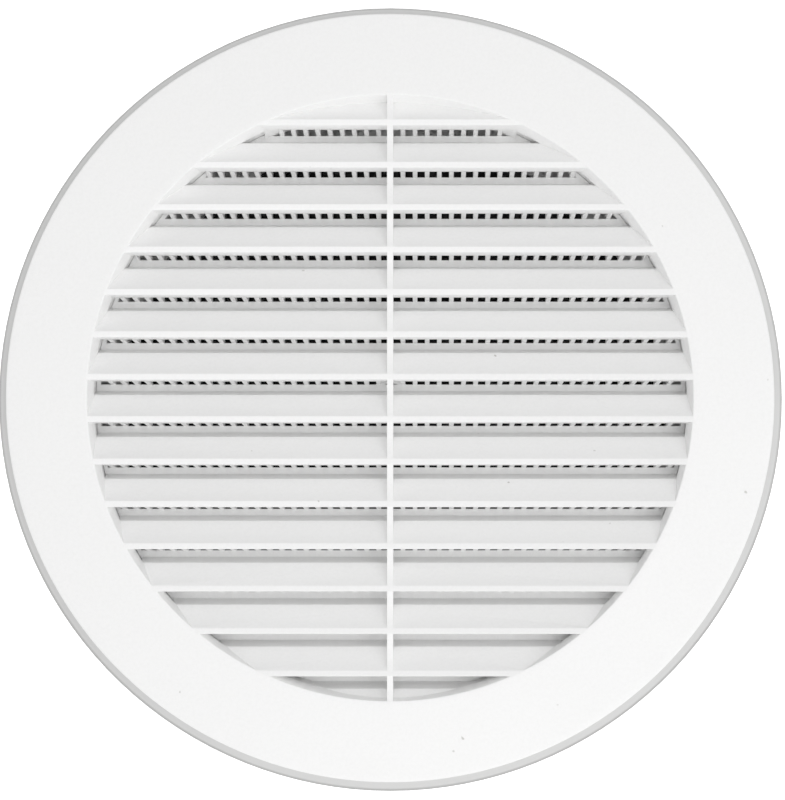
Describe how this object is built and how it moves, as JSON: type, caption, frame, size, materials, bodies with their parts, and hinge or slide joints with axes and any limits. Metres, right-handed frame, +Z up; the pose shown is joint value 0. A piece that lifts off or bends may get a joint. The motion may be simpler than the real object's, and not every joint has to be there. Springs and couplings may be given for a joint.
{
  "type": "round louvred extract grille",
  "caption": "Round wall-mounted extract grille with level louvres, insect screen, duct collar and a sprung two-flap backdraft damper.",
  "frame": {"origin": "duct axis on the wall plane", "axes": "louvre face towards -Y, duct collar along +Y, +Z up, louvre bars along X"},
  "size_m": [0.1924, 0.0515, 0.1924],
  "materials": {
    "white_plastic": "satin moulded",
    "black_plastic": "matt moulded",
    "grey_foam": "closed-cell foam",
    "black_rubber": "matt",
    "spring_steel": "bright rolled",
    "zinc_steel": "zinc plated",
    "natural_nylon": "natural"
  },
  "bodies": {
    "base": {"wall_ring": "white_plastic", "wall_gasket": "grey_foam", "duct_seal": "black_rubber", "grip_clips": "spring_steel", "damper_frame": "black_plastic", "damper_seat": "grey_foam", "retaining_ring": "spring_steel", "hinge_pin": "zinc_steel", "pin_bush_top": "natural_nylon", "pin_bush_bottom": "natural_nylon", "pin_clips": "spring_steel", "pin_spacers": "natural_nylon"},
    "face": {"louvre_face": "white_plastic", "insect_screen": "white_plastic", "screen_screw": "zinc_steel", "screen_washer": "zinc_steel"},
    "left_flap": {"flap_left": "black_plastic", "spring_left": "spring_steel", "buffer_left": "black_rubber"},
    "right_flap": {"flap_right": "black_plastic", "spring_right": "spring_steel", "buffer_right": "black_rubber"}
  },
  "joints": [
    {"name": "face_pull", "type": "slide", "parent": "base", "child": "face", "axis": [0, -1, 0], "range_m": [0, 0.06]},
    {"name": "flap_left_swing", "type": "hinge", "parent": "base", "child": "left_flap", "pos_m": [0, 0.0386, 0], "axis": [0, 0, -1], "range_deg": [0, 80], "stiffness_Nm_per_rad": 0.004, "springref_deg": -11.46},
    {"name": "flap_right_swing", "type": "hinge", "parent": "base", "child": "right_flap", "pos_m": [0, 0.0386, 0], "axis": [0, 0, 1], "range_deg": [0, 80], "stiffness_Nm_per_rad": 0.004, "springref_deg": -11.46}
  ]
}
